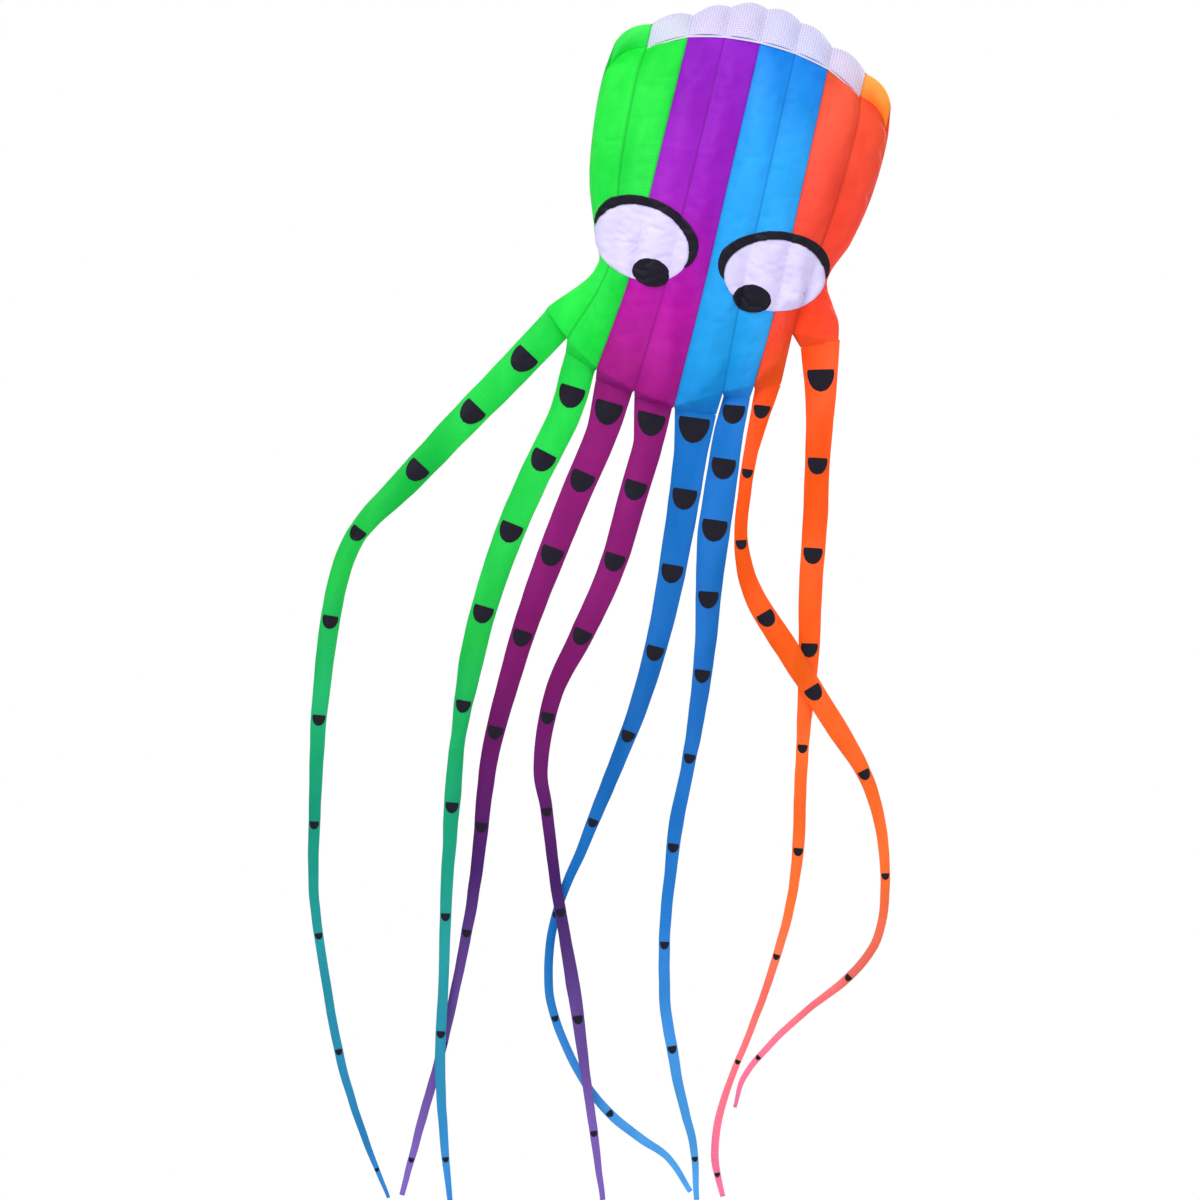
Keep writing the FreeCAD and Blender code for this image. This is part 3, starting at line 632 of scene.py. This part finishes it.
class KITE_OT_head(bpy.types.Operator):
    """Sew the front and back panels and blow the head up"""

    bl_idname = "kite.head"
    bl_label = "Head panels"

    columns = 10
    rows = 90

    def execute(self, context):
        whole = bmesh.new()
        panel_of = whole.faces.layers.int.new("panel")
        pinned = whole.verts.layers.int.new("pinned")
        for side in (FRONT, BACK):
            for cell in CELLS:
                verts, faces = add_grid(
                    whole, self.columns, self.rows,
                    lambda across, down: skin_point(cell, side, across, down),
                    CELL_WIDTH, CELL_LENGTH, flip=side == BACK)
                number = (cell - 1) // 2 + (4 if side == BACK else 0)
                for face in faces:
                    face[panel_of] = number
                rim = [v for v in verts if v.is_boundary]
                for vert in rim:
                    vert[pinned] = 1
        bmesh.ops.remove_doubles(whole, verts=whole.verts[:], dist=0.0006)
        whole.verts.index_update()
        seams = [v.index for v in whole.verts if v[pinned]]
        head = add_piece(HEAD_CLOTH, whole, fabric_of("head", "green"))
        blow_up(head, seams, 0.02)
        for number in range(8):
            side = "front" if number < 4 else "back"
            colour = COLOURS[number % 4]
            panel = bmesh.new()
            panel.from_mesh(head.data)
            layer = panel.faces.layers.int["panel"]
            others = [face for face in panel.faces if face[layer] != number]
            bmesh.ops.delete(panel, geom=others, context="FACES")
            name = f"{side}_skin_{colour}"
            area = sum(face.calc_area() for face in panel.faces)
            piece = add_piece(name, panel, fabric_of("head", colour), "head")
            smoother = piece.modifiers.new("smooth", "SUBSURF")
            smoother.levels = smoother.render_levels = 1
            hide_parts(f"{side}_panel_{colour}")
        head.hide_render = True
        return {"FINISHED"}


def mouth_point(cell, across, down):
    """Point over a cell's mouth, between the back edge (down 0) and the front edge (down 1) of the nose."""
    back = skin_point(cell, BACK, across, 0.0)
    front = skin_point(cell, FRONT, across, 0.0)
    slope = front - back
    outward = Vector((1, 0, 0)).cross(slope).normalized()
    if outward.z - outward.y < 0:
        outward = -outward
    crown = 0.016 * 4 * across * (1 - across) * math.sin(math.pi * (0.08 + 0.84 * down))
    return back + slope * down + outward * crown


class KITE_OT_mouth(bpy.types.Operator):
    """Stretch the scalloped mesh over the air intake and close the two outer cells with gussets"""

    bl_idname = "kite.mouth"
    bl_label = "Intake mesh and gussets"

    def execute(self, context):
        # The white mesh is given a grey lavender, C4C0DC: painted shade that sets it off from the white around
        # it.
        shaded_knit = gauze("knitted_polyester_mesh", "C4C0DC")
        self.cover("intake_mesh", range(2, 8), 0.6, shaded_knit, "mesh_white", "intake_gauze")
        for colour, cell in (("green", 1), ("orange", 8)):
            nylon = fabric_of("gusset", colour)
            self.cover(f"gusset_{colour}", (cell,), 0.11, nylon, f"nylon_{colour}", f"side_gusset_{colour}")
        return {"FINISHED"}

    def cover(self, name, cells, width, material, slot, node):
        mesh_edit = bmesh.new()
        for cell in cells:
            add_grid(mesh_edit, 12, 10, lambda across, down: mouth_point(cell, across, down), 0.1, 0.13)
        bmesh.ops.remove_doubles(mesh_edit, verts=mesh_edit.verts[:], dist=0.0005)
        face_front(mesh_edit)
        area = sum(face.calc_area() for face in mesh_edit.faces)
        piece = add_piece(name, mesh_edit, material, "head")
        smoother = piece.modifiers.new("smooth", "SUBSURF")
        smoother.levels = smoother.render_levels = 1
        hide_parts(node)


class KITE_OT_hems(bpy.types.Operator):
    """Fold the tape hems over the front and back edges of the nose"""

    bl_idname = "kite.hems"
    bl_label = "Nose hems"

    def execute(self, context):
        for side, name in ((FRONT, "front"), (BACK, "back")):
            mesh_edit = bmesh.new()
            for cell in range(2, 8):
                add_grid(
                    mesh_edit, 10, 8,
                    lambda across, around: self.point(cell, side, across, around),
                    0.1, 0.026, flip=side == BACK)
            bmesh.ops.remove_doubles(mesh_edit, verts=mesh_edit.verts[:], dist=0.0005)
            bmesh.ops.recalc_face_normals(mesh_edit, faces=mesh_edit.faces[:])
            piece = add_piece(f"{name}_edge_tape", mesh_edit, tape_white(), "head")
            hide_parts(f"{name}_nose_hem")
        return {"FINISHED"}

    def point(self, cell, side, across, around):
        """Point of a tape folded over the edge, from the outside of the skin to its inside."""
        top = skin_point(cell, side, across, 0.0)
        below = skin_point(cell, side, across, 0.008)
        down = (below - top).normalized()
        outward = Vector((0, side, 0))
        turn = math.pi * around
        reach = 0.007 * abs(1 - 2 * around)
        return top + down * (reach - 0.002 * math.sin(turn)) + outward * 0.0026 * math.cos(turn)


class KITE_OT_eyes(bpy.types.Operator):
    """Sew the whites, lid bands and pupils onto the blown-up head"""

    bl_idname = "kite.eyes"
    bl_label = "Eyes"

    def execute(self, context):
        head = bpy.data.objects[HEAD_CLOTH]
        self.skin = skin_under([head.data])
        white, black = patch_of("white"), patch_of("black")
        for side, sign, middle, radii, pupil in EYES:
            disc = lambda across, around: self.oval(across, around, sign, middle, radii, 12)
            self.sew(f"eye_white_{side}_patch", disc, 0.003, white, f"eye_white_{side}", "patch_white")
            band = lambda across, around: self.lid(across, around, sign, middle, radii)
            self.sew(f"eyelid_{side}_band", band, 0.004, black, f"eyelid_{side}", "patch_black")
            dot = lambda across, around: self.oval(across, around, sign, pupil, (51, 37), 4)
            self.sew(f"pupil_{side}_patch", dot, 0.005, black, f"pupil_{side}", "patch_black")
        bpy.data.objects.remove(head)
        return {"FINISHED"}

    def oval(self, share, turn, sign, middle, radii, tilt):
        """Point of an oval from its middle (share 0) to its rim, in the XZ plane."""
        angle = 2 * math.pi * turn
        x, z = radii[0] * share * math.cos(angle), radii[1] * share * math.sin(angle)
        tilt = math.radians(tilt)
        x, z = x * math.cos(tilt) - z * math.sin(tilt), x * math.sin(tilt) + z * math.cos(tilt)
        return sign * (middle[0] + x) * MM, (middle[1] + z) * MM

    def lid(self, share, turn, sign, middle, radii):
        """Point of the band over the white, widest above it and pointed at both ends."""
        start, end = math.radians(-8), math.radians(182)
        angle = start + (end - start) * (1 - turn)
        width = 26 * min(1.0, 4.5 * turn, 4.5 * (1 - turn)) ** 0.7
        grow = 1 + share * width / 110
        x, z = radii[0] * grow * math.cos(math.pi - angle), radii[1] * grow * math.sin(math.pi - angle)
        tilt = math.radians(12)
        x, z = x * math.cos(tilt) - z * math.sin(tilt), x * math.sin(tilt) + z * math.cos(tilt)
        return sign * (middle[0] + x) * MM, (middle[1] + z) * MM

    def sew(self, name, outline, lift, material, node, slot):
        mesh_edit = bmesh.new()
        around = 96
        rows = 24 if "band" not in name else 8

        def point(across, down):
            x, z = outline(down, across)
            return lay_on(self.skin, x, z, lift * (1 if down < 0.999 else 0.5))

        add_grid(mesh_edit, around, rows, point, 0.7, 0.12)
        bmesh.ops.remove_doubles(mesh_edit, verts=mesh_edit.verts[:], dist=0.0002)
        face_front(mesh_edit)
        piece = add_piece(name, mesh_edit, material, "head")
        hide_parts(node)


class Leg:
    """Middle line, width and surface of one leg."""

    def __init__(self, number):
        self.number = number
        left, right = [Vector((x, 0, z)) for x, z in ROOTS[number]]
        root = (left + right) / 2
        rows = [(root.x, root.z, (right - left).length / (sizes().leg_width / MM)), *LEG_ROUTES[number]]
        lean = LAYERS[number] * LEG_LEAN
        self.line = Line([(x * MM, MIDDLE_Y + lean * (root.z - z) * MM, z * MM) for x, z, width in rows])
        self.widths = list(zip(self.line.marks, [row[2] for row in rows]))
        self.root_across = (right - left).normalized()
        self.fold = self.nearest(Vector(JOINTS[f"leg_{number}_fold"]["pos_m"]))
        self.cut = self.fold - 0.06

    def nearest(self, point):
        """Length along the line that is nearest to a point."""
        steps = [self.line.length * n / 800 for n in range(801)]
        return min(steps, key=lambda length: (self.line.at(length) - point).length)

    def half_width(self, length):
        return sizes().leg_width * between(self.widths, length) / 2

    def across(self, length):
        along = self.line.along(length)
        square = Vector((-along.z, 0, along.x)).normalized()
        return self.root_across.lerp(square, smooth(length / 0.09)).normalized()

    def surface(self, length, turn):
        """Point of the fabric tube; turn 0 is its left seam, 0.25 its front and 0.5 its right seam."""
        across = self.across(length)
        along = self.line.along(length)
        facing = across.cross(along).normalized()
        wide = self.half_width(length)
        deep = max(0.0022, wide * sizes().leg_fullness)
        deep *= 1 - 0.55 * math.exp(-(((length - self.fold) / 0.045) ** 2))
        angle = 2 * math.pi * turn
        side = -math.cos(angle)
        crown = math.copysign(1 - side**2, math.sin(angle))
        crease = 0.6 + 1.8 * math.exp(-length / 0.12) + 2.2 * math.exp(-(((length - self.fold) / 0.08) ** 2))
        crease *= min(1.0, length / 0.035)
        seed = 7.31 * self.number
        ripple = noise.noise(Vector((length * 26, side * 2.2 + (3 if crown > 0 else -3), seed)))
        ripple += 0.5 * noise.noise(Vector((length * 70, side * 3.0, seed + 5)))
        fold = sizes().wrinkle * crease * ripple * min(1.0, wide / 0.03) * (1 - abs(side) ** 4)
        front = -facing if facing.y > 0 else facing
        deep *= 1 + 0.12 * noise.noise(Vector((length * 9, seed, 2.0))) * min(1.0, length / 0.1)
        sway = 0.0012 * noise.noise(Vector((length * 18, seed, 0.0))) * min(1.0, length / 0.1)
        middle = self.line.at(length) + across * sway
        return middle + across * wide * side + front * (deep * crown + fold)


def leg_body(number, part):
    return f"leg_{number}_{part}"


def bend(piece, leg, part):
    """Bake a leg piece's placement into its mesh; the ends of the joint at the top of the part are found but
    not used.
    """
    if part == "upper":
        start, end = leg.line.at(0.0), leg.line.at(0.09)
        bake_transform(piece)
    else:
        start, end = leg.line.at(leg.fold - 0.055), leg.line.at(leg.fold + 0.055)
        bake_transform(piece)


class KITE_OT_legs(bpy.types.Operator):
    """Sew the eight soft legs, each in two lengths"""

    bl_idname = "kite.legs"
    bl_label = "Legs"

    around = 28
    step = 0.009

    def execute(self, context):
        for number in CELLS:
            leg = Leg(number)
            colour = COLOURS[(number - 1) // 2]
            for part, start, end in (("upper", 0.0, leg.cut), ("lower", leg.cut, leg.line.length)):
                self.tube(leg, part, start, end, colour)
        return {"FINISHED"}

    def tube(self, leg, part, start, end, colour):
        mesh_edit = bmesh.new()
        rows = max(8, round((end - start) / self.step))
        whole = leg.line.length

        def point(turn, down):
            return leg.surface(start + (end - start) * down, turn)

        verts, faces = add_grid(mesh_edit, self.around, rows, point, 0.2, end - start)
        shares = mesh_edit.loops.layers.uv["share"]
        for face in faces:
            for loop in face.loops:
                turn, down = loop[shares].uv
                loop[shares].uv = (2 * turn, (start + (end - start) * down) / whole)
        bmesh.ops.remove_doubles(mesh_edit, verts=mesh_edit.verts[:], dist=0.0001)
        open_edges = [edge for edge in mesh_edit.edges if edge.is_boundary]
        if part == "lower":
            tip = [e for e in open_edges if (e.verts[0].co - leg.line.at(end)).length < 0.05]
            bmesh.ops.holes_fill(mesh_edit, edges=tip, sides=0)
        bmesh.ops.recalc_face_normals(mesh_edit, faces=mesh_edit.faces[:])
        name = f"leg_{leg.number}_{part}_tube"
        piece = add_piece(name, mesh_edit, fabric_of("leg", colour), None)
        bend(piece, leg, part)
        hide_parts(leg_body(leg.number, part))


class KITE_OT_spots(bpy.types.Operator):
    """Sew the black spots down the front of each leg"""

    bl_idname = "kite.spots"
    bl_label = "Leg spots"

    def execute(self, context):
        for number in CELLS:
            leg = Leg(number)
            tubes = [bpy.data.objects[f"leg_{number}_{part}_tube"].data for part in ("upper", "lower")]
            self.skin = skin_under(tubes)
            groups = {"upper": [], "lower": []}
            first, step, growth = SPOT_STEPS[number]
            for place in range(MOST_SPOTS):
                start = (first + step * place + growth * place**2) * MM
                if start > leg.line.length - TIP_MARGIN:
                    break
                long = 1.35 * leg.half_width(start)
                begin = max(0.004, start - long / 2)
                part = "upper" if begin + long < leg.cut + 0.012 else "lower"
                if part == "lower":
                    begin = max(begin, leg.cut + 0.004)
                groups[part].append((begin, begin + long))
            for part, spots in groups.items():
                self.sew(leg, part, spots)
        return {"FINISHED"}

    def sew(self, leg, part, spots):
        mesh_edit = bmesh.new()
        for begin, end in spots:
            def point(across, down):
                wide = sizes().spot_share * (1 - down**2.4) ** 0.5 * (1 - 0.1 * (1 - down) ** 8)
                side = (2 * across - 1) * wide
                length = begin + (end - begin) * down
                place = leg.line.at(length) + leg.across(length) * leg.half_width(length) * side
                return lay_on(self.skin, place.x, place.z, 0.0013)
            add_grid(mesh_edit, 16, 14, point, 0.06, end - begin)
        bmesh.ops.remove_doubles(mesh_edit, verts=mesh_edit.verts[:], dist=0.0001)
        for face in mesh_edit.faces:
            if face.normal.y > 0:
                face.normal_flip()
        name = f"leg_{leg.number}_{part}_spot_patches"
        piece = add_piece(name, mesh_edit, patch_of("black"), None)
        bend(piece, leg, part)
        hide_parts(f"leg_{leg.number}_{part}_spots")


class KITE_OT_inside(bpy.types.Operator):
    """Give the inner ribs and the bridle loops their fabrics"""

    bl_idname = "kite.inside"
    bl_label = "Ribs and loops"

    def execute(self, context):
        rib_cloth = tape("ripstop_nylon_white", "EEEAF8")
        for name, node in frame["nodes"].items():
            if name.startswith("rib_") or name.startswith("bridle_loops"):
                material = rib_cloth if name.startswith("rib_") else tape_white()
                node.data.materials.clear()
                node.data.materials.append(material)
        return {"FINISHED"}


class KITE_OT_stage(bpy.types.Operator):
    """Set up the pale floor, the soft lights and the camera"""

    bl_idname = "kite.stage"
    bl_label = "Stage"

    def execute(self, context):
        floor_edit = bmesh.new()
        bmesh.ops.create_circle(floor_edit, cap_ends=True, segments=96, radius=1.9)
        for vert in floor_edit.verts:
            vert.co.z = -3.0
        material, tree = new_tree("painted_floor_white")
        grain = add(tree, "ShaderNodeTexNoise", in_Scale=8.0)
        shade = add(tree, "ShaderNodeMix", {0: grain.outputs["Fac"]}, data_type="RGBA")
        shade.inputs[6].default_value = linear("F4F4F4")
        shade.inputs[7].default_value = linear("F9F9F9")
        paint = add(tree, "ShaderNodeBsdfPrincipled", {"Base Color": shade.outputs[2]}, in_Roughness=0.8)
        add(tree, "ShaderNodeOutputMaterial", {"Surface": paint.outputs[0]})
        mesh = bpy.data.meshes.new("floor")
        floor_edit.to_mesh(mesh)
        floor_edit.free()
        mesh.materials.append(material)
        floor = bpy.data.objects.new("floor", mesh)
        context.scene.collection.objects.link(floor)
        self.sky(context.scene)
        self.light("key", (-3.5, -5.0, 4.0), 300, 2.5)
        self.light("fill", (4.5, -4.0, 0.5), 60, 4.0)
        self.light("behind", (1.5, 5.0, 3.0), 300, 3.0)
        self.camera(context.scene)
        return {"FINISHED"}

    def sky(self, scene):
        world = bpy.data.worlds.new("pale_room")
        world.use_nodes = True
        tree = world.node_tree
        tree.nodes.clear()
        seen = add(tree, "ShaderNodeLightPath").outputs["Is Camera Ray"]
        soft = add(tree, "ShaderNodeBackground", in_Color=(1, 1, 1, 1), in_Strength=0.85)
        plain = add(tree, "ShaderNodeBackground", in_Color=(1, 1, 1, 1), in_Strength=1.0)
        mix = add(tree, "ShaderNodeMixShader", {0: seen, 1: soft.outputs[0], 2: plain.outputs[0]})
        add(tree, "ShaderNodeOutputWorld", {"Surface": mix.outputs[0]})
        scene.world = world
        scene.view_settings.view_transform = "Standard"

    def light(self, name, place, power, size):
        lamp = bpy.data.lights.new(name, "AREA")
        lamp.energy = power
        lamp.size = size
        lamp_object = bpy.data.objects.new(name, lamp)
        lamp_object.location = place
        aim = Vector((0, MIDDLE_Y, -0.6)) - lamp_object.location
        lamp_object.rotation_euler = aim.to_track_quat("-Z", "Y").to_euler()
        bpy.context.scene.collection.objects.link(lamp_object)

    def camera(self, scene):
        """Look square at the eyes from far off, with the kite leaning to the right."""
        distance, view_width, roll = 14.0, 3.24, math.radians(13)
        lens = bpy.data.cameras.new("camera")
        lens.sensor_width = 36
        lens.lens = 36 * distance / view_width
        eye = bpy.data.objects.new("camera", lens)
        eye.location = (-0.083, MIDDLE_Y - distance, -0.771)
        eye.rotation_euler = (math.pi / 2, -roll, 0)
        scene.collection.objects.link(eye)
        scene.camera = eye


class KITE_PT_panel(bpy.types.Panel):
    """Buttons and sizes of the kite"""

    bl_label = "Octopus Kite"
    bl_idname = "KITE_PT_panel"
    bl_space_type = "VIEW_3D"
    bl_region_type = "UI"
    bl_category = "Kite"

    def draw(self, context):
        for group in (context.scene.kite_sizes, context.scene.kite_colours):
            for name in group.__annotations__:
                self.layout.prop(group, name)
        for operator in OPERATORS:
            self.layout.operator(operator.bl_idname)


OPERATORS = (
    KITE_OT_head,
    KITE_OT_mouth,
    KITE_OT_hems,
    KITE_OT_eyes,
    KITE_OT_legs,
    KITE_OT_spots,
    KITE_OT_inside,
    KITE_OT_stage,
)
CLASSES = (KiteSizes, KiteColours, *OPERATORS, KITE_PT_panel)


def register():
    for kind in CLASSES:
        bpy.utils.register_class(kind)
    bpy.types.Scene.kite_sizes = bpy.props.PointerProperty(type=KiteSizes)
    bpy.types.Scene.kite_colours = bpy.props.PointerProperty(type=KiteColours)


def unregister():
    del bpy.types.Scene.kite_colours
    del bpy.types.Scene.kite_sizes
    for kind in reversed(CLASSES):
        bpy.utils.unregister_class(kind)


def main():
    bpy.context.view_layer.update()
    register()
    for operator in OPERATORS:
        group, name = operator.bl_idname.split(".")
        getattr(getattr(bpy.ops, group), name)()


if __name__ == "__main__":
    main()
